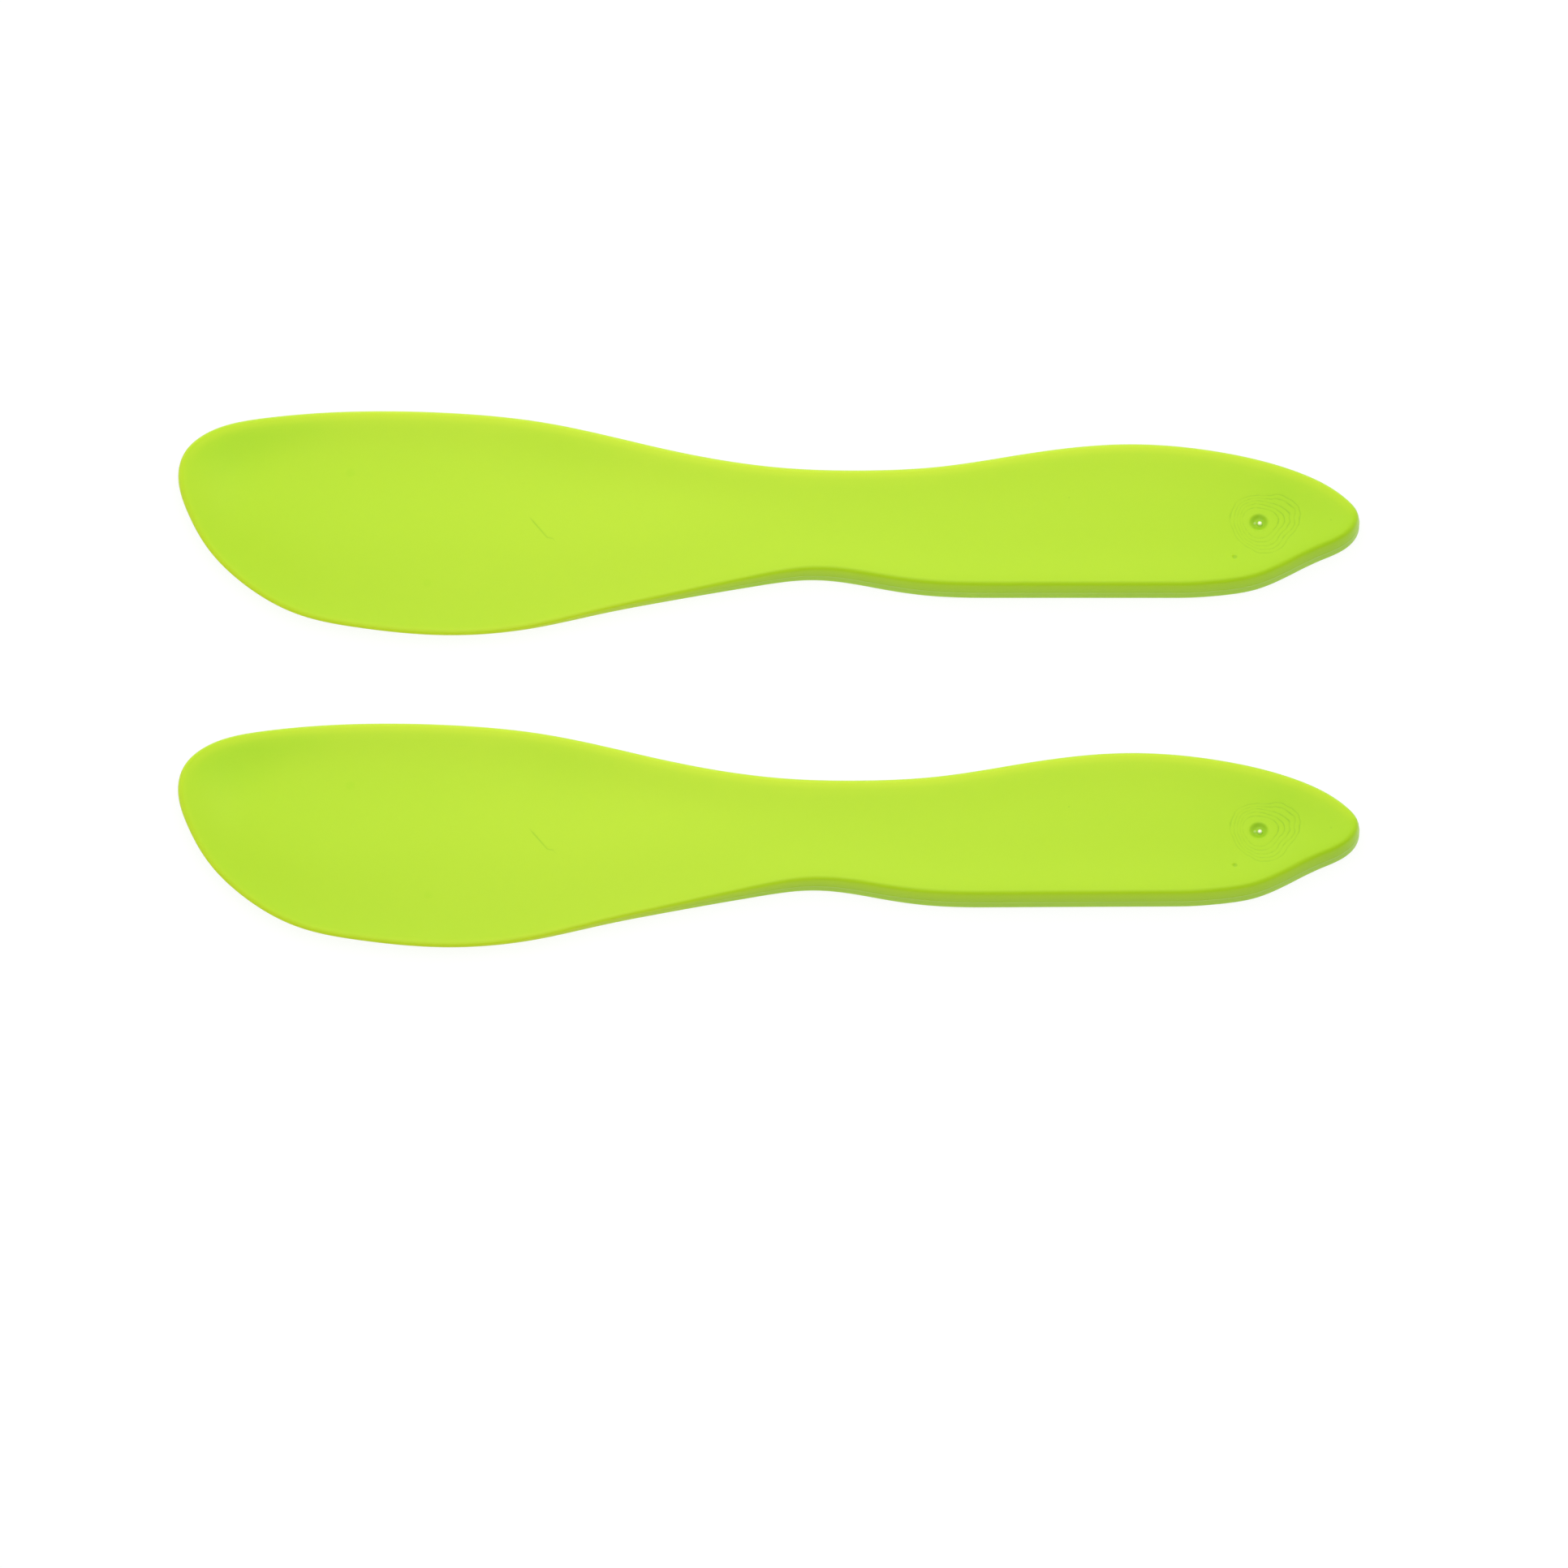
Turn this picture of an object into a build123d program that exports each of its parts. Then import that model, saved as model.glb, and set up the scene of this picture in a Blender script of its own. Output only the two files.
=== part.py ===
"""A pair of one-piece moulded spreading knives, laid side by side.

Each knife is a single plastic moulding: a leaf-shaped blade that thins towards its tip and its edge, a waisted
neck with a finger rest, and a flat handle with a pointed tail. The two faces mirror each other about the parting
plane at mid-thickness. Only the upper face has a gate well, with a short stub of plastic standing in it.

Frame, in millimetres: the origin is at the bottom centre of the pair's box, +X runs towards the tails, +Y runs
from the front knife to the rear one, and +Z is up. The handles' undersides lie on Z = 0.
"""

from build123d import *

import os

# Driving dimensions
LENGTH = 170.0  # from the blade's tip to the tail's end
HANDLE_THICKNESS = 4.2
HANDLE_HALF_WIDTH = 11.9
RIM_ROUNDING = 0.55  # all round the rim of both faces
SPACING = 51.6  # from one knife's centre line to the other's
FRONT_TURN = 0.32  # degrees the front knife is turned, which brings its tail nearer the rear knife

# Outline, seen from above. X runs from the tip, and Y = 0 is the line through the tail's end.
FRONT_EDGE_START = (117.0, -HANDLE_HALF_WIDTH)
FRONT_EDGE_END = (144.0, -HANDLE_HALF_WIDTH)
TAIL_HOLLOW = [(150.0, -11.5), (155.0, -10.55), (160.0, -8.15), (164.2, -5.8), (167.5, -4.1), (169.3, -2.35)]
TAIL_END = [(LENGTH, 0.1), (168.2, 3.0), (161.4, 7.35)]
HANDLE_BACK = [(150.0, 10.75), (136.0, 12.05), (121.0, 10.3), (110.0, 8.4)]
NECK_BACK = [(98.5, 7.75), (85.0, 8.5), (70.0, 11.6)]
BLADE_BACK = [(52.0, 16.25), (40.0, 17.7), (26.0, 18.05), (12.0, 16.95), (3.9, 14.45)]
BLADE_TIP = [(0.85, 11.3), (0.0, 7.8), (1.4, 1.3)]
BLADE_EDGE = [(4.3, -4.6), (9.4, -10.4), (17.0, -15.35), (26.0, -17.65), (39.0, -18.9), (51.0, -17.7)]
NECK_FRONT = [(61.0, -15.15), (73.0, -12.4), (84.0, -10.05)]
FINGER_REST = [(91.0, -9.1), (95.5, -9.4), (101.0, -10.45), (107.0, -11.45)]

# Half-thickness of the blade and neck at each X: SECTION_REACH in front of the centre line, and as far behind it
BLADE_SECTIONS = [
    (-6.0, 0.47, 0.66),
    (20.0, 0.62, 1.00),
    (44.0, 0.72, 1.12),
    (65.0, 1.07, 1.40),
    (85.0, 1.60, 1.93),
    (100.0, 1.98, 2.08),
    (113.0, HANDLE_THICKNESS / 2, HANDLE_THICKNESS / 2),
]
SECTION_REACH = 20.0
CLEAR = 10.0  # how far the thickness body runs past the tail

# Gate well in the upper face, near the tail
GATE_AT = (155.5, -1.2)
WELL_RADIUS = 1.45
WELL_DEPTH = 0.4
STUB_RADIUS = 0.45
STUB_BELOW_FACE = 0.08
WELL_ROUNDING = 0.15


def outline():
    """The outline seen from above: one smooth curve, closed by the handle's straight front edge."""
    points = [
        FRONT_EDGE_END,
        *TAIL_HOLLOW,
        *TAIL_END,
        *HANDLE_BACK,
        *NECK_BACK,
        *BLADE_BACK,
        *BLADE_TIP,
        *BLADE_EDGE,
        *NECK_FRONT,
        *FINGER_REST,
        FRONT_EDGE_START,
    ]
    along = (1, 0)
    curve = Spline(points, tangents=(along, along), tangent_scalars=(1, 1))
    return make_face(curve + Line(FRONT_EDGE_START, FRONT_EDGE_END))


def section(x, front_half, back_half):
    """One cross-section of the thickness body, the same above and below the parting plane."""
    corners = [
        (x, -SECTION_REACH, -front_half),
        (x, SECTION_REACH, -back_half),
        (x, SECTION_REACH, back_half),
        (x, -SECTION_REACH, front_half),
    ]
    return make_face(Polyline(*corners, close=True))


def thickness_body():
    """A wide body as thick as the knife everywhere, centred on the parting plane."""
    blade = loft([section(*values) for values in BLADE_SECTIONS])
    start = BLADE_SECTIONS[-1][0]
    length = LENGTH + CLEAR - start
    handle = Pos(start + length / 2, 0, 0) * Box(length, 2 * SECTION_REACH, HANDLE_THICKNESS)
    return blade + handle


def gate_well():
    """The dished gate well to be cut from the upper face, less the stub that stands in it."""
    well = Cylinder(WELL_RADIUS, 2 * WELL_DEPTH)
    well = fillet(well.edges().group_by(Axis.Z)[0], WELL_ROUNDING)
    stub_height = WELL_DEPTH - STUB_BELOW_FACE
    stub = Cylinder(STUB_RADIUS, stub_height)
    stub = fillet(stub.edges().group_by(Axis.Z)[-1], WELL_ROUNDING)
    cut = well - Pos(0, 0, stub_height / 2 - WELL_DEPTH) * stub
    return Pos(GATE_AT[0], GATE_AT[1], HANDLE_THICKNESS) * cut


def knife():
    """One whole knife with its tip at X = 0 and the underside of its handle on Z = 0."""
    prism = extrude(outline(), HANDLE_THICKNESS, both=True)
    body = prism & thickness_body()
    skins = body.faces().filter_by(lambda face: abs(face.normal_at().Z) > 0.5)
    walls = body.faces() - skins
    wall_edges = walls.edges()
    rim = skins.edges().filter_by(lambda edge: edge in wall_edges)
    rounded = fillet(rim, RIM_ROUNDING)
    return Pos(0, 0, HANDLE_THICKNESS / 2) * rounded - gate_well()


def lay_out():
    """The rear and front knives in the row's frame."""
    knife_at_centre = Pos(-LENGTH / 2, 0, 0) * knife()
    rear = Pos(0, SPACING / 2, 0) * knife_at_centre
    front = Pos(0, -SPACING / 2, 0) * Rot(0, 0, FRONT_TURN) * knife_at_centre
    middle = Compound([rear, front]).bounding_box().center()
    to_origin = Pos(-middle.X, -middle.Y, 0)
    return to_origin * rear, to_origin * front


rear_knife, front_knife = lay_out()
os.makedirs("parts", exist_ok=True)
export_step(rear_knife, "parts/rear_knife.step")
export_step(front_knife, "parts/front_knife.step")
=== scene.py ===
"""Builds a pair of lime-green moulded spreading knives around their CAD solids, with a plain white stage.

Each knife is one closed mesh, made in the knife's own frame: X runs from the blade's tip to the tail, Y
towards the spine, and Z = 0 is the parting plane at mid-thickness. Lengths are in metres.
"""

import math

import bmesh
import bpy
import numpy as np
from bpy.props import FloatProperty, FloatVectorProperty, PointerProperty
from bpy.types import Operator, Panel, PropertyGroup
from mathutils import Matrix, Vector, noise
from mathutils.geometry import delaunay_2d_cdt


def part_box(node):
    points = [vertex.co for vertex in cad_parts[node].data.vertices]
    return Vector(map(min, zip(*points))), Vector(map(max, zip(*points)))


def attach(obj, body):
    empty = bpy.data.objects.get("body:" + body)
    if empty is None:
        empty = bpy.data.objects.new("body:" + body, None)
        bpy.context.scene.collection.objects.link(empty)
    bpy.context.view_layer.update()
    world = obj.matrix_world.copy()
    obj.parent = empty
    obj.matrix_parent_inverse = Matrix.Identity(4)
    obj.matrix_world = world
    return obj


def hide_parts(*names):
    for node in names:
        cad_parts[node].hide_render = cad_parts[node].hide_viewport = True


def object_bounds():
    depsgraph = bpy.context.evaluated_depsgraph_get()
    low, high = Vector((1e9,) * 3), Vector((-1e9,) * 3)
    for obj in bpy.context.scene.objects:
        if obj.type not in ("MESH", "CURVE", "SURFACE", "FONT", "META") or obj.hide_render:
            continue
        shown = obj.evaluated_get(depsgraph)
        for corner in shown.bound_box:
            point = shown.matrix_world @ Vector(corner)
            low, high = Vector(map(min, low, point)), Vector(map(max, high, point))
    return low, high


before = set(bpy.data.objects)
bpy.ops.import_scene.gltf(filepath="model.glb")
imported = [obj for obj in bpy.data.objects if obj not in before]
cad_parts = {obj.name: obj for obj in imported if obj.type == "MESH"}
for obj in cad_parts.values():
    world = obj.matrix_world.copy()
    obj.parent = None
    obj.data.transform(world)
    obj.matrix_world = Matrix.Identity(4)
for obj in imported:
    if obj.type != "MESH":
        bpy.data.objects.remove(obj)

bl_info = {
    "name": "Spreading Knife Pair",
    "version": (1, 0, 0),
    "blender": (4, 5, 0),
    "location": "View3D > Sidebar > Knives",
    "description": "Builds two moulded plastic spreading knives and a white stage",
    "category": "Add Mesh",
}

CAD_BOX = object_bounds()
MM = 0.001

# Which body carries each knife
KNIVES = {"rear_knife": "rear", "front_knife": "front"}

# The middle of the handle's straight front edge, in the knife's own frame
STRAIGHT_EDGE_MIDDLE = np.array([130.5, -11.9]) * MM

# Half-thickness along the knife: distance from the tip, then the value at STATION_REACH in front of the
# middle and as far behind it
STATIONS = np.array(
    [
        (-6.0, 0.47, 0.66),
        (20.0, 0.62, 1.00),
        (44.0, 0.72, 1.12),
        (65.0, 1.07, 1.40),
        (85.0, 1.60, 1.93),
        (100.0, 1.98, 2.08),
        (113.0, 2.10, 2.10),
        (180.0, 2.10, 2.10),
    ]
) * MM
STATION_REACH = 20.0 * MM

# Reading the CAD's outline: how near its line lies to the middle plane, the decimals its corners are rounded
# to, the points laid along the straight edge, and the steps between two of its corners
MIDDLE_TOLERANCE = 0.002 * MM
DECIMALS = 6
STRAIGHT_POINTS = 28
FINE_STEPS = 24

# Where one shape turns into another, along the knife from the blade to the handle and across it from the
# curved edge to the spine
FACE_ALONG = (62 * MM, 96 * MM)
FACE_ACROSS = (-6 * MM, 8 * MM)
BEAD_START = (1 * MM, 10 * MM)
THIN_EDGE_ALONG = (45 * MM, 85 * MM)
THIN_EDGE_ACROSS = (-4 * MM, 6 * MM)
RIM_ALONG = (60 * MM, 100 * MM)
RIM_ACROSS = (-4 * MM, 10 * MM)

# The sunk face starts this far inside the outline and spreads over the second length, and the fall to the
# curved edge spreads over the third
SINK_START = 1.0 * MM
SINK_SPREAD = 3.6 * MM
CROWN_SPREAD = 6.5 * MM

# The shares of the bead's and the crown's fall that stand over the bare face
BEAD_RISE = 0.25
CROWN_RISE = 0.4

# The slow wave in both faces: half its height, its length, and where each face reads it
WAVE_HEIGHT = 0.012 * MM
WAVE_LENGTH = 22 * MM
UPPER_WAVE, LOWER_WAVE = 2.0, 7.0

# Half the height of the parting ridge, and the least that the wall keeps over the parting plane
RIDGE_FOOT = 0.07 * MM
LEAST_WALL = 0.1 * MM

# Steps from the wall over the rim's rounding to the face, and the steps in which the thin edge's glow would
# fade out
RIM_STEPS = 8
GLOW_STEPS = 10

# Rings on the face beside the rim, where the painted rim light fades out: how far inside the rim they lie,
# how much of its colour they keep, and how strong it is beside the thin edge
COLLAR = ((0.55 * MM, 0.7), (1.1 * MM, 0.2))
COLLAR_GLOW = 0.05

# How far the outline stays inside the CAD's
CLEARANCE = 0.002 * MM

# The gate near the tail, with its snapped stub and nib: place, height, and radius at the foot and at the top
GATE = np.array([155.5, -1.2]) * MM
GATE_STUB = GATE + np.array([0.14, -0.05]) * MM
GATE_NIB = GATE + np.array([-0.55, 0.02]) * MM
STUB_HEIGHT, STUB_FOOT, STUB_TOP = 0.34 * MM, 0.5 * MM, 0.16 * MM
NIB_HEIGHT, NIB_FOOT, NIB_TOP = 0.14 * MM, 0.3 * MM, 0.05 * MM

# The flow rings: how far they reach, how far the outermost has drifted towards the tail, how they bulge at
# their corners, how they wobble (height, length, place in the noise), and half the width of a groove
FLOW_REACH = 5.1 * MM
FLOW_DRIFT = 0.85 * MM
FLOW_CORNERS = 3
FLOW_BULGE = 0.075
FLOW_CORNER_TURN = math.radians(28)
FLOW_FIRM_TURN = math.radians(35)
FLOW_WOBBLES = ((0.4 * MM, 2.4 * MM, 4.0), (0.12 * MM, 0.9 * MM, 9.0))
GROOVE = 0.085 * MM

# Distances from the gate over which the rings set in and start to wobble, and the length over which the
# outermost fades out
FLOW_START = (1.9 * MM, 2.4 * MM)
FLOW_WOBBLE_START = (1.5 * MM, 3.5 * MM)
FLOW_FADE = 0.4 * MM

# Rounds in which a ring's radius and its drift settle each other
FLOW_ROUNDS = 3

# Small marks in the upper face: a dimple near the gate with a crumb beside it, each with the radius at its
# foot and at its top, and a scratch in the blade
DIMPLE = np.array([152.05, -7.05]) * MM
DIMPLE_CRUMB = DIMPLE + np.array([-0.42, 0.3]) * MM
DIMPLE_DEPTH = 0.08 * MM
DIMPLE_SPREAD = (0.42 * MM, 0.18 * MM)
CRUMB_SPREAD = (0.22 * MM, 0.05 * MM)
SCRATCH = np.array([(51.1, -0.6), (53.1, -3.3), (54.0, -3.5)]) * MM
SCRATCH_DEPTH = 0.012 * MM
SCRATCH_WIDTH = 0.1 * MM
SCRATCH_FADE = 0.4

# Specks of dust under the upper face
SPECKS = np.array([(128.2, 2.9), (165.9, -0.9)]) * MM
SPECK_RADIUS = 0.2 * MM

# How far the small marks turn to the shade colour: painted shade in the flow rings' grooves, the dimple's
# pit, the scratch and the gate well, and the dust specks' own darker colour
RING_SHADE = 0.75
DIMPLE_SHADE = 0.6
SCRATCH_SHADE = 0.8
WELL_SHADE = 0.8
SPECK_SHADE = 0.6

# Round spots of colour at the gate, painted shade in the well and painted glints on the snapped stub and nib:
# the radius where they end and the radius of their full core, and how strong the nib's glint is
WELL_SHADE_SPOT = (1.65 * MM, 1.0 * MM)
STUB_GLINT = (0.42 * MM, 0.12 * MM)
NIB_GLINT = (0.3 * MM, 0.05 * MM)
NIB_GLINT_STRENGTH = 0.2

# How much of the painted rim light's colour a fully lit rim takes
RIM_TINT = 0.5

# Painted shade on the side walls: how far they turn to the shade colour, and the share of it at each quarter
# from the parting line to the rim, more of it on the lower side, towards the floor
WALL_SHADE = 0.35
UPPER_WALL_SHADE = (0.8, 0.5, 0.2, 0.0)
LOWER_WALL_SHADE = (1.2, 1.3, 1.3, 1.2)

# How far the blade's thin edge, which light passes through, takes the painted rim light's colour, as a
# painted glow
EDGE_GLOW = 1.5

# Spots of the deeper green, in millimetres: centre, radius, radius of the full core, and strength
DEEP_SPOTS = (
    ((-5, -5), 75, 0, 0.35),
    ((7, 15), 11, 2, 0.5),
    ((16, 17), 9, 0, 0.4),
    ((56, 15), 14, 0, 0.22),
    ((108, -2), 50, 0, 0.2),
    ((172, -2), 40, 0, 0.4),
    ((172, -2), 85, 0, 0.3),
    ((158.5, 3.2), 6, 0, 0.2),
    ((24.8, 7.7), 1.0, 0.3, 0.28),
    ((35.9, -10.7), 0.9, 0.3, 0.2),
)

# Soft clouds in the plastic: scale, detail, and for the mottling the strength
MOTTLING = ((90, 3, 0.12), (700, 2, 0.08))
SATIN_CLOUD = (260, 4)
GRAIN_CLOUD = (2600, 3)
SATIN_SPREAD = 0.06

# The mesh: distance between the faces' points, the gap that they keep to the rim, how near two points would
# have to be to merge, and how far the rows of points beside the scratch lie from it
FIELD_STEP = 1.5 * MM
FIELD_GAP = 0.5 * MM
MERGE_DISTANCE = 1e-7
SCRATCH_ROWS = np.array([-0.3, -0.14, -0.07, 0.0, 0.07, 0.14, 0.3]) * MM

# The stage: half the floor's width and how far it lies under the knives, the softbox, where the light from
# above and behind is centred and how it falls off, and how far the view's middle is off the knives' middle
FLOOR_REACH = 3.0
FLOOR_DROP = 0.02 * MM
SOFTBOX_SIZE = (0.18, 1.0)
SOFTBOX_PLACE = (0, 0.28, 0.25)
SKY_CENTRE = (0.0, 0.7, 0.7)
SKY_FALL = (-0.4, 0.6)
AIM_RIGHT, AIM_DOWN = 2.19 * MM, 15.0 * MM


# --------------------------------------------------------------------------------------------------
# Settings


class KnifeSizes(PropertyGroup):
    """Sizes of the moulding's rims, faces and small details."""

    edge_rounding: FloatProperty(
        name="Edge Rim", description="Rounding of the rim along the blade's curved edge",
        default=0.4 * MM, unit="LENGTH",
    )
    spine_rounding: FloatProperty(
        name="Spine Rim", description="Rounding of the rim along the spine and the handle's back",
        default=0.95 * MM, unit="LENGTH",
    )
    handle_rounding: FloatProperty(
        name="Handle Rim", description="Rounding of the rim along the handle's front",
        default=0.7 * MM, unit="LENGTH",
    )
    draft: FloatProperty(
        name="Draft", description="Lean of the side walls at the parting line",
        default=math.radians(1.0), unit="ROTATION",
    )
    bow: FloatProperty(
        name="Wall Bow", description="Further lean that a full-height wall gains up to its upper rim",
        default=math.radians(14), unit="ROTATION",
    )
    edge_reach: FloatProperty(
        name="Edge Reach", description="How many times wider than high the rim of the curved edge is",
        default=1.7, subtype="FACTOR",
    )
    ridge: FloatProperty(
        name="Parting Ridge", description="How far the parting line stands out",
        default=0.03 * MM, unit="LENGTH",
    )
    crown: FloatProperty(
        name="Edge Crown", description="Fall of the blade's face towards its curved edge",
        default=0.36 * MM, unit="LENGTH",
    )
    bead: FloatProperty(
        name="Spine Bead", description="Fall from the bead along the blade's spine to the hollow beside it",
        default=0.5 * MM, unit="LENGTH",
    )
    sink: FloatProperty(
        name="Handle Sink", description="How far the handle's face has sunk inside its rim",
        default=0.3 * MM, unit="LENGTH",
    )
    well_radius: FloatProperty(
        name="Gate Well Radius", description="Radius of the well round the gate",
        default=1.45 * MM, unit="LENGTH",
    )
    well_depth: FloatProperty(
        name="Gate Well Depth", description="Depth of the well round the gate",
        default=0.4 * MM, unit="LENGTH",
    )
    flow_pitch: FloatProperty(
        name="Flow Ring Pitch", description="Distance between the flow rings round the gate",
        default=0.62 * MM, unit="LENGTH",
    )
    flow_depth: FloatProperty(
        name="Flow Ring Depth", description="Depth of the flow rings round the gate",
        default=0.02 * MM, unit="LENGTH",
    )
    spacing: FloatProperty(
        name="Mesh Spacing", description="Distance between the points along the rim",
        default=0.5 * MM, unit="LENGTH",
    )


class PlasticLook(PropertyGroup):
    """Colours and finish of the lime plastic, with the colours of its painted shade, painted rim light and
    painted glint.
    """

    colour: FloatVectorProperty(
        name="Colour", description="Colour of the plastic",
        subtype="COLOR", size=3, default=(0.486, 0.718, 0.012), min=0, max=1,
    )
    deep_colour: FloatVectorProperty(
        name="Deep Colour", description="Greener colour at the tip and the tail",
        subtype="COLOR", size=3, default=(0.394, 0.68, 0.002), min=0, max=1,
    )
    # Painted shade: the gate well, the flow rings' grooves, the dimple, the scratch and the side walls turn
    # to this darker green where shade falls; the dust specks take it too
    painted_shade_and_speck_colour: FloatVectorProperty(
        name="Shade Colour", description="Deeper green of the gate well, the flow rings and the side walls",
        subtype="COLOR", size=3, default=(0.30, 0.57, 0.004), min=0, max=1,
    )
    # Painted rim light: the rims that face the back, towards the light, and the blade's thin edge take this
    # paler, yellower colour
    painted_rim_light_colour: FloatVectorProperty(
        name="Rim Colour", description="Paler, yellower plastic along the rear rims and the thin edge",
        subtype="COLOR", size=3, default=(0.62, 0.76, 0.02), min=0, max=1,
    )
    # Painted glint: the snapped stub and the nib beside it are painted near-white where a highlight shows
    painted_glint_colour: FloatVectorProperty(
        name="Snapped Stub Colour", description="Whitened plastic where the gate was snapped off",
        subtype="COLOR", size=3, default=(1.0, 1.0, 0.75), min=0, max=1,
    )
    roughness: FloatProperty(
        name="Roughness", description="Roughness of the satin surface", default=0.34, subtype="FACTOR",
    )
    glow_depth: FloatProperty(
        name="Glow Depth", description="How far light spreads inside the plastic",
        default=0.9 * MM, unit="LENGTH",
    )
    grain: FloatProperty(
        name="Grain", description="Height of the fine moulded grain", default=0.006 * MM, unit="LENGTH",
    )


class StageLook(PropertyGroup):
    """Floor, light and camera."""

    floor_colour: FloatVectorProperty(
        name="Floor", description="Colour of the floor",
        subtype="COLOR", size=3, default=(0.12, 0.12, 0.12), min=0, max=1,
    )
    floor_glow: FloatProperty(
        name="Floor Glow", description="Light that the floor gives", default=0.9,
    )
    sky: FloatProperty(
        name="Sky", description="Strength of the light from above and behind", default=1.015,
    )
    front: FloatProperty(
        name="Front", description="Strength of the light from the camera's side", default=0.24,
    )
    softbox: FloatProperty(
        name="Softbox", description="Power of the long softbox over the knives", default=0.5, unit="POWER",
    )
    elevation: FloatProperty(
        name="Camera Elevation", description="Angle of the camera above the floor",
        default=math.radians(60), unit="ROTATION",
    )
    width: FloatProperty(
        name="View Width", description="Width of what the camera sees",
        default=225.65 * MM, unit="LENGTH",
    )


# --------------------------------------------------------------------------------------------------
# Outline


def parting_line(node):
    """The closed line round a CAD knife at mid-thickness, as points in order."""
    low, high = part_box(node)
    middle = (low[2] + high[2]) / 2
    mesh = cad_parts[node].data
    beside = {}
    for edge in mesh.edges:
        ends = [mesh.vertices[i].co for i in edge.vertices]
        if all(abs(end.z - middle) < MIDDLE_TOLERANCE for end in ends):
            a, b = [(round(end.x, DECIMALS), round(end.y, DECIMALS)) for end in ends]
            beside.setdefault(a, set()).add(b)
            beside.setdefault(b, set()).add(a)
    if not beside or any(len(pair) != 2 for pair in beside.values()):
        raise RuntimeError(f"{node} has no single closed parting line")
    first = min(beside)
    line = [first, min(beside[first])]
    while True:
        following = next(p for p in beside[line[-1]] if p != line[-2])
        if following == first:
            break
        line.append(following)
    line = np.array(line)
    if shoelace(line) < 0:
        line = line[::-1]
    return line


def shoelace(line):
    """Signed area of a closed line, positive when it runs anticlockwise."""
    after = np.roll(line, -1, axis=0)
    return 0.5 * np.sum(line[:, 0] * after[:, 1] - after[:, 0] * line[:, 1])


def straight_edge(line):
    """Index of the longest run of a closed line, which is the handle's straight front edge."""
    return int(np.argmax(np.linalg.norm(np.roll(line, -1, axis=0) - line, axis=1)))


def knife_place(line):
    """The knife's place in the row, as an angle and the row position of the middle of its straight edge."""
    i = straight_edge(line)
    start, end = line[i], line[(i + 1) % len(line)]
    run = end - start
    return math.atan2(run[1], run[0]), (start + end) / 2


def to_knife_frame(line):
    """The same line in the knife's own frame."""
    angle, middle = knife_place(line)
    c, s = math.cos(angle), math.sin(angle)
    away = line - middle
    turned = np.column_stack((away[:, 0] * c + away[:, 1] * s, away[:, 1] * c - away[:, 0] * s))
    return turned + STRAIGHT_EDGE_MIDDLE


def smooth_outline(line, spacing):
    """A smooth closed line through the given points, with evenly spaced points of its own."""
    i = straight_edge(line)
    start, end = line[i], line[(i + 1) % len(line)]
    steps = np.linspace(0, 1, STRAIGHT_POINTS)[1:-1, None]
    line = np.insert(line, i + 1, start + steps * (end - start), axis=0)
    after = np.roll(line, -1, axis=0)
    chord = after - line
    length = np.linalg.norm(chord, axis=1)[:, None]
    slope = chord / length
    before_length = np.roll(length, 1, axis=0)
    tangent = (slope * before_length + np.roll(slope, 1, axis=0) * length) / (length + before_length)
    t = np.linspace(0, 1, FINE_STEPS, endpoint=False)[None, :, None]
    a, b = line[:, None], after[:, None]
    ta, tb = (tangent * length)[:, None], (np.roll(tangent, -1, axis=0) * length)[:, None]
    fine = (
        (2 * t**3 - 3 * t**2 + 1) * a
        + (t**3 - 2 * t**2 + t) * ta
        + (3 * t**2 - 2 * t**3) * b
        + (t**3 - t**2) * tb
    ).reshape(-1, 2)
    closed = np.vstack((fine, fine[:1]))
    along = np.concatenate(([0], np.cumsum(np.linalg.norm(np.diff(closed, axis=0), axis=1))))
    at = np.linspace(0, along[-1], int(along[-1] / spacing), endpoint=False)
    even = np.column_stack([np.interp(at, along, closed[:, axis]) for axis in (0, 1)])
    return even + CLEARANCE * inward(even)


def inward(line):
    """Unit vectors across a closed anticlockwise line, pointing to its inside."""
    run = np.roll(line, -1, axis=0) - np.roll(line, 1, axis=0)
    run /= np.linalg.norm(run, axis=1)[:, None]
    return np.column_stack((-run[:, 1], run[:, 0]))


def rim_distance(points, outline):
    """Distance from each point to the outline."""
    nearest = np.full(len(points), np.inf)
    for a, b in zip(outline, np.roll(outline, -1, axis=0)):
        run = b - a
        t = np.clip(((points - a) @ run) / (run @ run), 0, 1)
        nearest = np.minimum(nearest, np.linalg.norm(points - a - t[:, None] * run, axis=1))
    return nearest


def is_inside(points, outline):
    """True for each point inside the outline."""
    inside = np.zeros(len(points), bool)
    for a, b in zip(outline, np.roll(outline, -1, axis=0)):
        crosses = (a[1] > points[:, 1]) != (b[1] > points[:, 1])
        if crosses.any():
            x = a[0] + (points[crosses, 1] - a[1]) / (b[1] - a[1]) * (b[0] - a[0])
            inside[crosses] ^= points[crosses, 0] < x
    return inside


# --------------------------------------------------------------------------------------------------
# Surface heights


def blend(low, high, value):
    """0 up to low, 1 from high on, and a smooth step between."""
    t = np.clip((value - low) / (high - low), 0, 1)
    return t * t * (3 - 2 * t)


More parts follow.
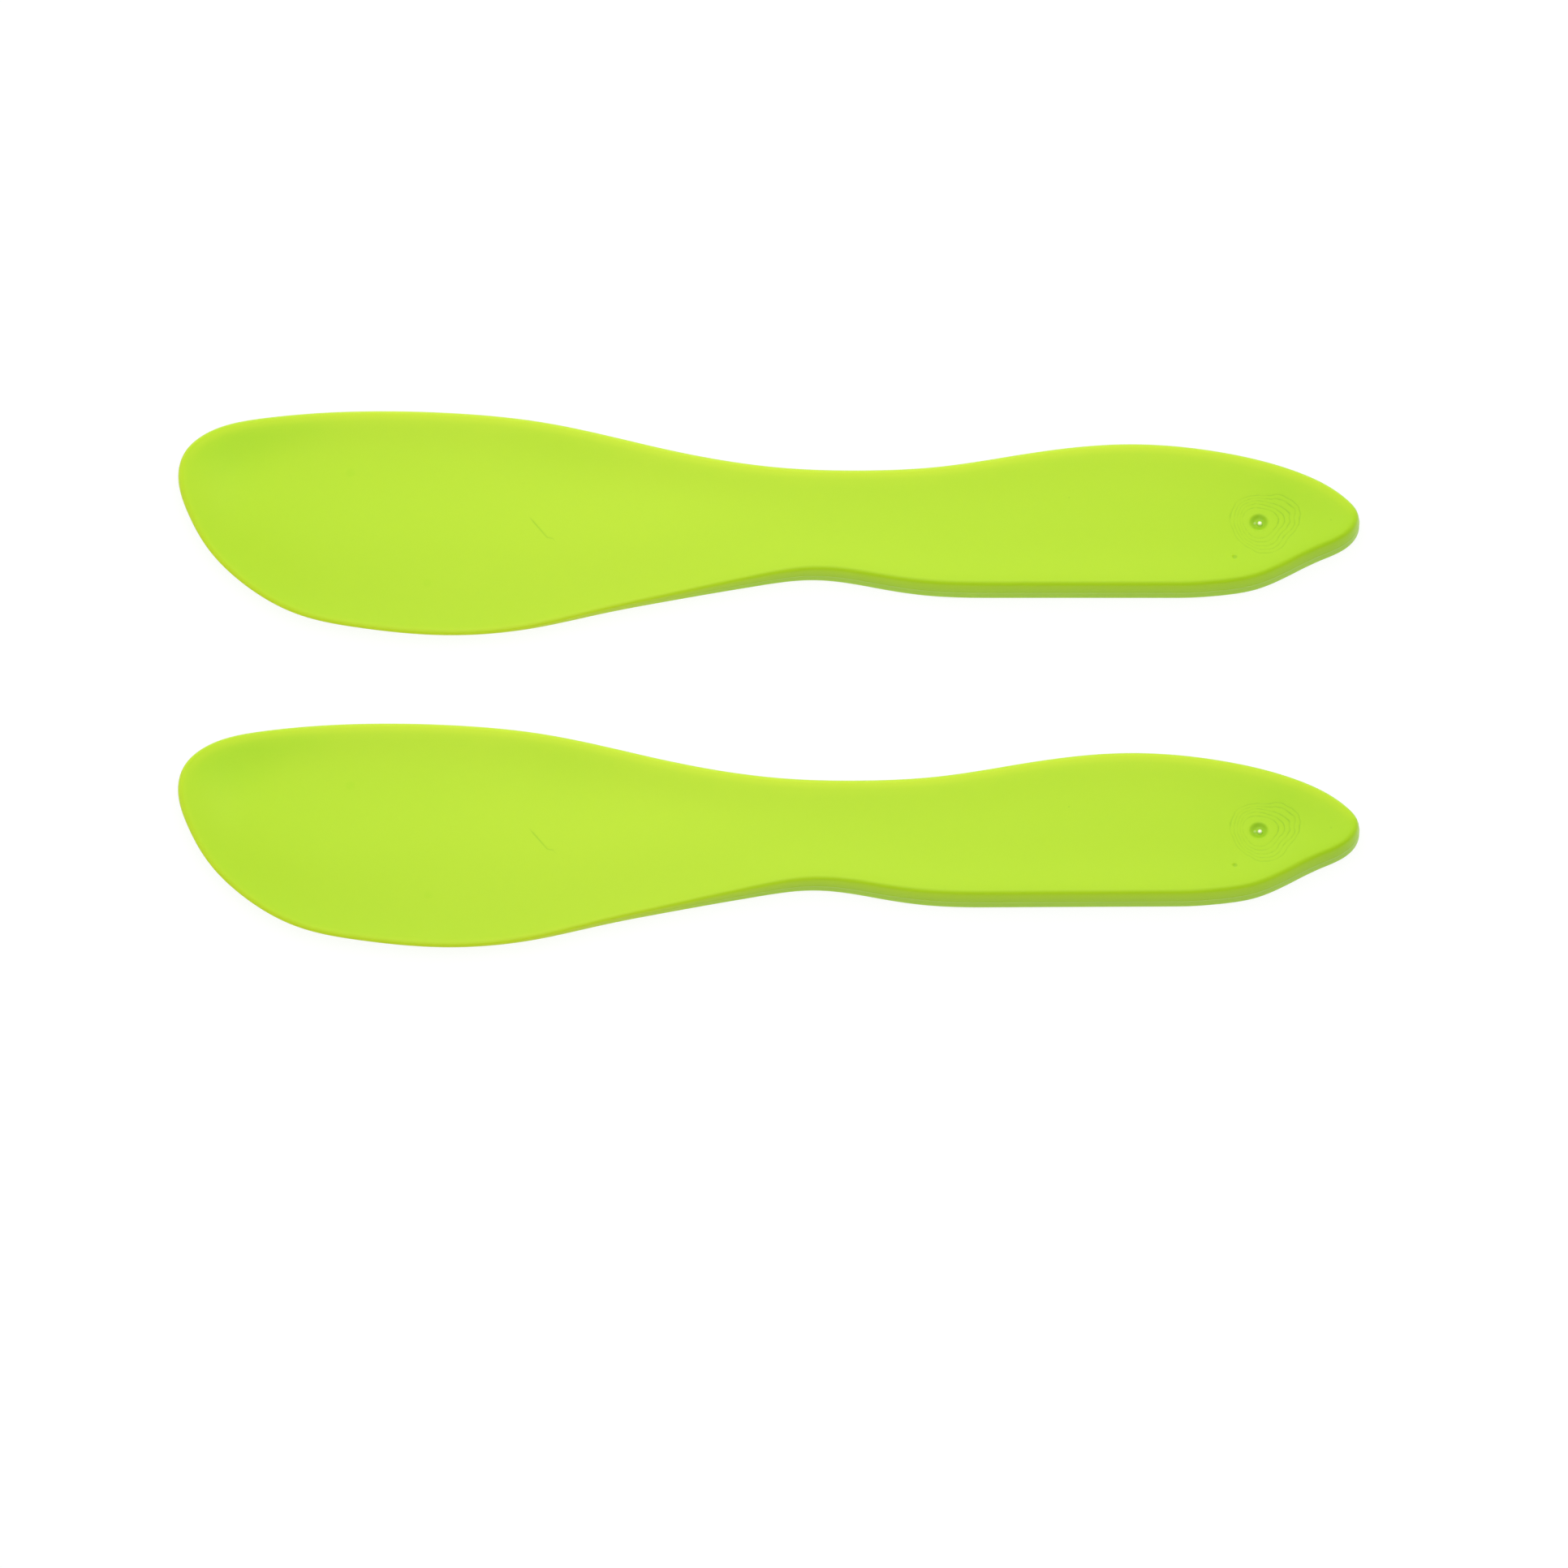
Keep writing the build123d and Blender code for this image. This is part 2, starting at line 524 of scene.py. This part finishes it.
def station_curve(x, column):
    """Half-thickness at x, smooth through the stations and never past them."""
    at, value = STATIONS[:, 0], STATIONS[:, column]
    step = np.diff(at)
    slope = np.diff(value) / step
    tangent = np.zeros(len(at))
    for i in range(1, len(at) - 1):
        if slope[i - 1] * slope[i] > 0:
            tangent[i] = 2 * slope[i - 1] * slope[i] / (slope[i - 1] + slope[i])
    tangent[0] = slope[0]
    i = np.clip(np.searchsorted(at, x) - 1, 0, len(at) - 2)
    t = (x - at[i]) / step[i]
    return (
        (2 * t**3 - 3 * t**2 + 1) * value[i]
        + (t**3 - 2 * t**2 + t) * step[i] * tangent[i]
        + (3 * t**2 - 2 * t**3) * value[i + 1]
        + (t**3 - t**2) * step[i] * tangent[i + 1]
    )


def half_thickness(points):
    """Height of the bare face over the parting plane."""
    x, y = points.T
    share = (y + STATION_REACH) / (2 * STATION_REACH)
    return station_curve(x, 1) * (1 - share) + station_curve(x, 2) * share


def wave(points, size, seed):
    """A slow, smooth wave over the face, between about -1 and 1."""
    return np.array([noise.noise(Vector((x / size, y / size, seed))) for x, y in points])


def knoll(points, centre, foot, top):
    """1 within the top radius round a centre, 0 beyond the foot radius, and a smooth slope between."""
    return 1 - blend(top, foot, np.linalg.norm(points - centre, axis=1))


def gate_shape(points, sizes):
    """Height of the gate well, and of the snapped stub and nib that stand in it, over the bare face."""
    well = -sizes.well_depth * knoll(points, GATE, sizes.well_radius, 0.45 * sizes.well_radius)
    stub = STUB_HEIGHT * knoll(points, GATE_STUB, STUB_FOOT, STUB_TOP)
    nib = NIB_HEIGHT * knoll(points, GATE_NIB, NIB_FOOT, NIB_TOP)
    return well + stub + nib


def flow_rings(points, sizes):
    """Strength, from 0 to about 1, of the uneven rings that the melt left round the gate."""
    strength = np.zeros(len(points))
    near = np.linalg.norm(points - GATE, axis=1) < FLOW_REACH + 1.5 * FLOW_DRIFT
    spot = points[near]
    r = np.linalg.norm(spot - GATE, axis=1)
    for _ in range(FLOW_ROUNDS):
        away = spot - GATE
        away[:, 0] -= FLOW_DRIFT * blend(FLOW_WOBBLE_START[0], FLOW_REACH, r)
        turn = np.arctan2(away[:, 1], away[:, 0])
        r = np.linalg.norm(away, axis=1) / (1 + FLOW_BULGE * np.cos(FLOW_CORNERS * (turn - FLOW_CORNER_TURN)))
    wobble = sum(height * wave(spot, length, seed) for height, length, seed in FLOW_WOBBLES)
    count = (r + wobble * blend(*FLOW_WOBBLE_START, r)) / sizes.flow_pitch
    ring = np.round(count)
    groove = np.exp(-(((count - ring) * sizes.flow_pitch / GROOVE) ** 2))
    around = np.column_stack((4 * np.cos(turn), 4 * np.sin(turn), 2.7 * ring))
    fading = np.array([noise.noise(Vector(place)) for place in around])
    firm = 0.6 + 0.35 * blend(-0.3, 0.35, fading) + 0.25 * blend(-0.2, 0.9, np.cos(turn - FLOW_FIRM_TURN))
    reach = blend(*FLOW_START, r) * (1 - blend(FLOW_REACH, FLOW_REACH + FLOW_FADE, r + wobble))
    strength[near] = groove * firm * reach
    return strength


def dimple(points):
    """Strength of the dimple near the gate, up to 1 in its pit and below 0 on the crumb beside it."""
    return knoll(points, DIMPLE, *DIMPLE_SPREAD) - knoll(points, DIMPLE_CRUMB, *CRUMB_SPREAD)


def scratch(points):
    """Strength, from 0 to 1, of the hair scratch in the blade."""
    away = np.full(len(points), np.inf)
    for start, end in zip(SCRATCH, SCRATCH[1:]):
        run = end - start
        along = np.clip((points - start) @ run / (run @ run), 0, 1)
        away = np.minimum(away, np.linalg.norm(points - start - along[:, None] * run, axis=1))
    fade = 1 - SCRATCH_FADE * blend(SCRATCH[0, 0], SCRATCH[-1, 0], points[:, 0])
    return fade * np.exp(-((away / SCRATCH_WIDTH) ** 2))


def face_shade(points, sizes):
    """How far the upper face turns to the shade colour: painted shade in the flow rings' grooves, the
    dimple's pit and the scratch.
    """
    rings = RING_SHADE * flow_rings(points, sizes) ** 2
    return rings + DIMPLE_SHADE * np.maximum(dimple(points), 0) + SCRATCH_SHADE * scratch(points)


def face_height(points, distance, sizes, upper):
    """Height of a finished face over the parting plane, at points that lie distance inside the outline."""
    x, y = points.T
    handle = blend(*FACE_ALONG, x)
    spine = (1 - handle) * blend(*FACE_ACROSS, y) * blend(*BEAD_START, x)
    edge = (1 - handle) * (1 - blend(*FACE_ACROSS, y))
    inside = 1 - np.exp(-((np.maximum(distance - SINK_START, 0) / SINK_SPREAD) ** 2))
    height = half_thickness(points)
    height -= sizes.sink * handle * inside
    height += sizes.bead * spine * (BEAD_RISE - inside)
    height += sizes.crown * edge * (CROWN_RISE - np.exp(-((distance / CROWN_SPREAD) ** 2)))
    height += WAVE_HEIGHT * (wave(points, WAVE_LENGTH, UPPER_WAVE if upper else LOWER_WAVE) - 1)
    if upper:
        height += gate_shape(points, sizes) - sizes.flow_depth * flow_rings(points, sizes)
        height -= DIMPLE_DEPTH * dimple(points) + SCRATCH_DEPTH * scratch(points)
    return height


# --------------------------------------------------------------------------------------------------
# Mesh


def rim_profile(outline, across, sizes, upper):
    """Rings from the parting line over the wall and the rim to the face, on the upper or the lower side.

    Each ring holds, per outline point, its inset and its height, how far it takes the painted wall shade, and
    how far it takes the painted rim light.
    """
    x, y = outline.T
    thin = 1 - blend(*THIN_EDGE_ALONG, x)
    # Painted rim light on the rims that face the back, where the light comes from
    back = np.maximum(-across[:, 1], 0)
    spine = blend(*RIM_ACROSS, y)
    rounding = sizes.edge_rounding + (sizes.handle_rounding - sizes.edge_rounding) * blend(*RIM_ALONG, x)
    rounding += (sizes.spine_rounding - rounding) * spine
    reach = rounding * (1 + (sizes.edge_reach - 1) * thin * (1 - blend(*THIN_EDGE_ACROSS, y)))
    bow = sizes.bow * upper * (1 - spine)
    top = face_height(outline + across * reach[:, None], reach, sizes, False)
    drop = np.minimum(rounding, top - LEAST_WALL)
    foot = np.minimum(RIDGE_FOOT, 0.5 * (top - drop))
    nothing = np.zeros(len(outline))

    # Painted shade on the walls, left off the blade's thin edge, which takes a painted glow where light
    # passes through
    rings = [
        (nothing, nothing, 1 - thin, EDGE_GLOW * thin),
        (nothing + sizes.ridge, foot, 1 - thin, EDGE_GLOW * thin),
    ]
    full = STATIONS[-1, 1] - sizes.handle_rounding
    for quarter, wall in enumerate(UPPER_WALL_SHADE if upper else LOWER_WALL_SHADE, start=1):
        rise = (top - drop - foot) * (quarter / 4)
        lean = math.tan(sizes.draft) * rise + np.tan(bow) * rise**2 / (2 * full)
        rings.append((sizes.ridge + lean, foot + rise, wall * (1 - thin), EDGE_GLOW * thin))

    base, _, wall, glow = rings[-1]
    first = sizes.draft + bow
    for step in range(1, RIM_STEPS + 1):
        angle = first + (math.pi / 2 - first) * step / RIM_STEPS
        inset = base + reach * (1 - np.cos(angle) / np.cos(first))
        height = top - drop * (1 - np.sin(angle)) / (1 - np.sin(first))
        # The painted rim light grows over the rounding of the rims that face the back, and the thin edge's
        # painted glow fades out
        lit = np.maximum(back * step / RIM_STEPS, glow * (1 - step / GLOW_STEPS))
        rings.append((inset, height, wall * (1 - step / RIM_STEPS), lit))

    for further, share in COLLAR:
        inset = reach + further
        height = face_height(outline + across * inset[:, None], inset, sizes, upper)
        rings.append((inset, height, nothing, share * np.maximum(back, COLLAR_GLOW * thin)))
    return rings


def web(centre, inner, outer, step, spokes):
    """Points on rings round a centre, in line from ring to ring."""
    turn = np.arange(spokes) / spokes * 2 * math.pi
    radii = np.arange(inner, outer, step)
    return (centre + radii[:, None, None] * np.column_stack((np.cos(turn), np.sin(turn)))).reshape(-1, 2)


def scratch_points():
    """Rows of points along the hair scratch and beside it."""
    rows = []
    for start, end in zip(SCRATCH, SCRATCH[1:]):
        run = end - start
        length = np.linalg.norm(run)
        side = np.array([-run[1], run[0]]) / length
        along = np.arange(0.03 * MM, length - 0.02 * MM, 0.1 * MM)[:, None, None] / length
        rows.append((start + along * run + SCRATCH_ROWS[:, None] * side).reshape(-1, 2))
    return np.vstack(rows)


def face_points(outline, reach):
    """Points over a face: an even field, and fine webs over the gate and the small marks."""
    low, high = outline.min(axis=0), outline.max(axis=0)
    step = FIELD_STEP
    rows = np.arange(low[1], high[1], step * math.sqrt(3) / 2)
    field = np.array(
        [(x, y) for k, y in enumerate(rows) for x in np.arange(low[0] + (k % 2) * step / 2, high[0], step)]
    )
    details = [
        web(GATE, inner=0.06 * MM, outer=0.5 * MM, step=0.06 * MM, spokes=30),
        web(GATE, inner=0.54 * MM, outer=1.2 * MM, step=0.06 * MM, spokes=90),
        web(GATE, inner=1.2 * MM, outer=7.0 * MM, step=0.07 * MM, spokes=180),
        web(DIMPLE, inner=0.06 * MM, outer=0.8 * MM, step=0.07 * MM, spokes=30),
        scratch_points(),
    ]
    clear = [(GATE, 7.4 * MM), (DIMPLE, 1.2 * MM)]
    for centre, radius in clear:
        field = field[np.linalg.norm(field - centre, axis=1) > radius]
    points = np.vstack((field, [GATE, DIMPLE], *details))
    points = points[is_inside(points, outline)]
    distance = rim_distance(points, outline)
    keep = distance > reach
    return points[keep], distance[keep]


def knife_mesh(name, outline, sizes):
    """One closed knife mesh, in the knife's own frame."""
    across = inward(outline)
    count = len(outline)
    profiles = {upper: rim_profile(outline, across, sizes, upper) for upper in (True, False)}
    last = profiles[True][-1][0]
    inner, distance = face_points(outline, last.max() + FIELD_GAP)
    flat = [Vector(p) for p in np.vstack((outline + across * last[:, None], inner))]
    hoop = [(i, (i + 1) % count) for i in range(count)]
    points, _, triangles, kept, _, _ = delaunay_2d_cdt(flat, hoop, [], 1, MERGE_DISTANCE)
    if len(points) != len(flat):
        raise RuntimeError(f"{name}: the face's points aren't all separate")

    mesh = bpy.data.meshes.new(name)
    work = bmesh.new()
    # The shade layer holds painted shade, the rim layer painted rim light
    shade = work.verts.layers.float.new("shade")
    rim = work.verts.layers.float.new("rim")

    def corner_of(x, y, z, shaded, lit=0.0):
        """One mesh corner that knows how far it takes the painted shade and the painted rim light."""
        corner = work.verts.new((x, y, z))
        corner[shade] = shaded
        corner[rim] = lit
        return corner

    def ring_of(sign, inset, height, wall, lit):
        """The corners of one ring of a rim profile."""
        marks = zip(outline + across * inset[:, None], height, WALL_SHADE * wall, lit)
        return [corner_of(x, y, sign * z, shaded, light) for (x, y), z, shaded, light in marks]

    def side(upper, parting):
        """All faces above or below the parting line: the wall, the rim and the face."""
        sign = 1 if upper else -1
        rings = [parting] + [ring_of(sign, *ring) for ring in profiles[upper][1:]]
        inner_height = face_height(inner, distance, sizes, upper)
        shaded = face_shade(inner, sizes) if upper else np.zeros(len(inner))
        middle = [corner_of(x, y, sign * z, share) for (x, y), z, share in zip(inner, inner_height, shaded)]
        for lower, higher in zip(rings, rings[1:]):
            for i, j in hoop:
                quad = (lower[i], lower[j], higher[j], higher[i])
                work.faces.new(quad if upper else quad[::-1])
        top = rings[-1] + middle
        for triangle in triangles:
            corner = [top[kept[i][0]] for i in triangle]
            work.faces.new(corner if upper else corner[::-1])

    parting = ring_of(1, *profiles[True][0])
    side(True, parting)
    side(False, parting)
    work.to_mesh(mesh)
    work.free()
    mesh.shade_smooth()
    return mesh


# --------------------------------------------------------------------------------------------------
# Material


def lime_plastic(look, node, angle, middle):
    """Satin lime plastic for one knife, with a fine grain, soft mottling, spots of deeper green, painted
    shade, painted rim light and painted glints.
    """
    material = bpy.data.materials.new(node + "_plastic")
    material.use_nodes = True
    nodes, links = material.node_tree.nodes, material.node_tree.links
    shader = nodes["Principled BSDF"]
    shader.inputs["IOR"].default_value = 1.49
    shader.inputs["Specular IOR Level"].default_value = 0.3
    shader.inputs["Subsurface Weight"].default_value = 0.35
    shader.inputs["Subsurface Radius"].default_value = (1.0, 1.0, 0.25)
    shader.inputs["Subsurface Scale"].default_value = look.glow_depth
    row = nodes.new("ShaderNodeTexCoord")
    place = nodes.new("ShaderNodeMapping")
    to_knife = Matrix.Rotation(-angle, 4, "Z") @ Matrix.Translation((*-middle, 0))
    place.inputs["Rotation"].default_value = (0, 0, -angle)
    place.inputs["Location"].default_value = to_knife.translation + Vector((*STRAIGHT_EDGE_MIDDLE, 0))
    links.new(row.outputs["Object"], place.inputs["Vector"])
    flat = nodes.new("ShaderNodeVectorMath")
    flat.operation = "MULTIPLY"
    flat.inputs[1].default_value = (1, 1, 0)
    links.new(place.outputs["Vector"], flat.inputs[0])

    def near(centre, radius, core=0.0):
        """1 within the core round a centre, seen from above, falling to 0 at the radius."""
        away = nodes.new("ShaderNodeVectorMath")
        away.operation = "DISTANCE"
        away.inputs[1].default_value = (*centre, 0)
        links.new(flat.outputs["Vector"], away.inputs[0])
        fall = nodes.new("ShaderNodeMapRange")
        fall.interpolation_type = "SMOOTHSTEP"
        fall.inputs["From Min"].default_value = core
        fall.inputs["From Max"].default_value = radius
        fall.inputs["To Min"].default_value = 1
        fall.inputs["To Max"].default_value = 0
        links.new(away.outputs["Value"], fall.inputs["Value"])
        return fall.outputs["Result"]

    def sum_of(*shares):
        """The sum of some values, each with its own weight, kept between 0 and 1."""
        total = None
        for value, weight in shares:
            step = nodes.new("ShaderNodeMath")
            step.operation = "MULTIPLY_ADD"
            step.use_clamp = True
            step.inputs[1].default_value = weight
            links.new(value, step.inputs[0])
            if total:
                links.new(total, step.inputs[2])
            else:
                step.inputs[2].default_value = 0
            total = step.outputs[0]
        return total

    def cloud(scale, detail):
        """A soft random cloud."""
        soft = nodes.new("ShaderNodeTexNoise")
        soft.inputs["Scale"].default_value = scale
        soft.inputs["Detail"].default_value = detail
        links.new(place.outputs["Vector"], soft.inputs["Vector"])
        return soft.outputs["Fac"]

    def tinted(factor, base, tint):
        """The base colour, turned to the tint by the factor."""
        mix = nodes.new("ShaderNodeMix")
        mix.data_type = "RGBA"
        links.new(factor, mix.inputs["Factor"])
        if isinstance(base, tuple):
            mix.inputs["A"].default_value = (*base, 1)
        else:
            links.new(base, mix.inputs["A"])
        mix.inputs["B"].default_value = (*tint, 1)
        return mix.outputs["Result"]

    spots = (
        (near(np.array(centre) * MM, radius * MM, core * MM), weight)
        for centre, radius, core, weight in DEEP_SPOTS
    )
    clouds = ((cloud(scale, detail), strength) for scale, detail, strength in MOTTLING)
    deep = sum_of(*clouds, *spots)
    # Painted shade from the shade attribute and in the gate well, and the dust specks, all in the shade
    # colour
    share = nodes.new("ShaderNodeAttribute")
    share.attribute_name = "shade"
    plastic = tinted(deep, tuple(look.colour), look.deep_colour)
    shade = sum_of(
        (share.outputs["Fac"], 1.0),
        (near(GATE, *WELL_SHADE_SPOT), WELL_SHADE),
        *((near(speck, SPECK_RADIUS), SPECK_SHADE) for speck in SPECKS),
    )
    plastic = tinted(shade, plastic, look.painted_shade_and_speck_colour)
    # Painted rim light, from the rim attribute
    rim = nodes.new("ShaderNodeAttribute")
    rim.attribute_name = "rim"
    plastic = tinted(sum_of((rim.outputs["Fac"], RIM_TINT)), plastic, look.painted_rim_light_colour)
    # Painted glints on the snapped stub and the nib
    snapped = sum_of((near(GATE_STUB, *STUB_GLINT), 1.0), (near(GATE_NIB, *NIB_GLINT), NIB_GLINT_STRENGTH))
    plastic = tinted(snapped, plastic, look.painted_glint_colour)
    links.new(plastic, shader.inputs["Base Color"])

    satin = nodes.new("ShaderNodeMapRange")
    satin.inputs["To Min"].default_value = look.roughness - SATIN_SPREAD
    satin.inputs["To Max"].default_value = look.roughness + SATIN_SPREAD
    links.new(cloud(*SATIN_CLOUD), satin.inputs["Value"])
    links.new(satin.outputs["Result"], shader.inputs["Roughness"])

    bump = nodes.new("ShaderNodeBump")
    bump.inputs["Strength"].default_value = 1.0
    bump.inputs["Distance"].default_value = look.grain
    links.new(cloud(*GRAIN_CLOUD), bump.inputs["Height"])
    links.new(bump.outputs["Normal"], shader.inputs["Normal"])
    return material


# --------------------------------------------------------------------------------------------------
# Operators


class KNIVES_OT_knives(Operator):
    """Build both knives over their CAD solids"""

    bl_idname = "knives.knives"
    bl_label = "Knives"

    def execute(self, context):
        scene = context.scene
        for node, body in KNIVES.items():
            line = parting_line(node)
            angle, middle = knife_place(line)
            outline = smooth_outline(to_knife_frame(line), scene.knife_sizes.spacing)
            mesh = knife_mesh(node + "_moulding", outline, scene.knife_sizes)
            low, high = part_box(node)
            mesh.transform(
                Matrix.Translation((*middle, (low[2] + high[2]) / 2))
                @ Matrix.Rotation(angle, 4, "Z")
                @ Matrix.Translation((*-STRAIGHT_EDGE_MIDDLE, 0))
            )
            mesh.materials.append(lime_plastic(scene.plastic_look, node, angle, middle))
            knife = bpy.data.objects.new(node + "_moulding", mesh)
            scene.collection.objects.link(knife)
            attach(knife, body)
            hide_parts(node)
        return {"FINISHED"}


class KNIVES_OT_stage(Operator):
    """Build the white floor, the soft light and the camera"""

    bl_idname = "knives.stage"
    bl_label = "Stage"

    def execute(self, context):
        scene = context.scene
        look = scene.stage_look

        mesh = bpy.data.meshes.new("floor")
        sides = ((-1, -1), (1, -1), (1, 1), (-1, 1))
        corners = [(x * FLOOR_REACH, y * FLOOR_REACH, -FLOOR_DROP) for x, y in sides]
        mesh.from_pydata(corners, [], [(0, 1, 2, 3)])
        floor = bpy.data.objects.new("floor", mesh)
        scene.collection.objects.link(floor)
        paper = bpy.data.materials.new("white_paper")
        paper.use_nodes = True
        shader = paper.node_tree.nodes["Principled BSDF"]
        shader.inputs["Base Color"].default_value = (*look.floor_colour, 1)
        shader.inputs["Roughness"].default_value = 0.9
        shader.inputs["Specular IOR Level"].default_value = 0.0
        shader.inputs["Emission Color"].default_value = (1, 1, 1, 1)
        shader.inputs["Emission Strength"].default_value = look.floor_glow
        mesh.materials.append(paper)

        world = bpy.data.worlds.new("soft_light")
        scene.world = world
        world.use_nodes = True
        nodes, links = world.node_tree.nodes, world.node_tree.links
        place = nodes.new("ShaderNodeTexCoord")
        facing = nodes.new("ShaderNodeVectorMath")
        facing.operation = "DOT_PRODUCT"
        facing.inputs[1].default_value = Vector(SKY_CENTRE).normalized()
        links.new(place.outputs["Generated"], facing.inputs[0])
        ramp = nodes.new("ShaderNodeMapRange")
        ramp.interpolation_type = "SMOOTHSTEP"
        ramp.inputs["From Min"].default_value = SKY_FALL[0]
        ramp.inputs["From Max"].default_value = SKY_FALL[1]
        ramp.inputs["To Min"].default_value = look.front
        ramp.inputs["To Max"].default_value = look.sky
        links.new(facing.outputs["Value"], ramp.inputs["Value"])
        height = nodes.new("ShaderNodeSeparateXYZ")
        links.new(place.outputs["Generated"], height.inputs[0])
        # Under the floor, where only a low camera looks, all is white
        under = nodes.new("ShaderNodeMath")
        under.operation = "LESS_THAN"
        under.inputs[1].default_value = 0
        links.new(height.outputs["Z"], under.inputs[0])
        strength = nodes.new("ShaderNodeMath")
        strength.operation = "MAXIMUM"
        links.new(ramp.outputs["Result"], strength.inputs[0])
        links.new(under.outputs[0], strength.inputs[1])
        links.new(strength.outputs[0], nodes["Background"].inputs["Strength"])
        nodes["Background"].inputs["Color"].default_value = (1, 1, 1, 1)

        light = bpy.data.lights.new("softbox", "AREA")
        light.shape = "RECTANGLE"
        light.size, light.size_y = SOFTBOX_SIZE
        light.energy = look.softbox
        softbox = bpy.data.objects.new("softbox", light)
        softbox.location = SOFTBOX_PLACE
        scene.collection.objects.link(softbox)

        data = bpy.data.cameras.new("camera")
        data.type = "ORTHO"
        data.ortho_scale = look.width
        data.clip_start, data.clip_end = 0.01, 10
        camera = bpy.data.objects.new("camera", data)
        scene.collection.objects.link(camera)
        scene.camera = camera
        sin, cos = math.sin(look.elevation), math.cos(look.elevation)
        back, up = Vector((0, -cos, sin)), Vector((0, sin, cos))
        low, high = CAD_BOX
        middle = (low + high) / 2
        camera.location = middle + back + Vector((AIM_RIGHT, 0, 0)) - up * AIM_DOWN
        camera.rotation_euler = (math.pi / 2 - look.elevation, 0, 0)

        scene.view_settings.view_transform = "Standard"
        return {"FINISHED"}


class KNIVES_PT_panel(Panel):
    """Lists the knives and the stage"""

    bl_idname = "KNIVES_PT_panel"
    bl_label = "Spreading Knives"
    bl_space_type = "VIEW_3D"
    bl_region_type = "UI"
    bl_category = "Knives"

    def draw(self, context):
        scene = context.scene
        for operator, groups in (
            (KNIVES_OT_knives, (scene.knife_sizes, scene.plastic_look)),
            (KNIVES_OT_stage, (scene.stage_look,)),
        ):
            self.layout.operator(operator.bl_idname)
            for group in groups:
                for name in group.__annotations__:
                    self.layout.prop(group, name)


CLASSES = (KnifeSizes, PlasticLook, StageLook, KNIVES_OT_knives, KNIVES_OT_stage, KNIVES_PT_panel)


def register():
    """Register the classes and their settings."""
    for cls in CLASSES:
        bpy.utils.register_class(cls)
    bpy.types.Scene.knife_sizes = PointerProperty(type=KnifeSizes)
    bpy.types.Scene.plastic_look = PointerProperty(type=PlasticLook)
    bpy.types.Scene.stage_look = PointerProperty(type=StageLook)


def unregister():
    """Remove the settings and the classes."""
    del bpy.types.Scene.stage_look
    del bpy.types.Scene.plastic_look
    del bpy.types.Scene.knife_sizes
    for cls in reversed(CLASSES):
        bpy.utils.unregister_class(cls)


def main():
    """Register the classes and build the knives and the stage."""
    register()
    bpy.ops.knives.knives()
    bpy.ops.knives.stage()


if __name__ == "__main__":
    main()
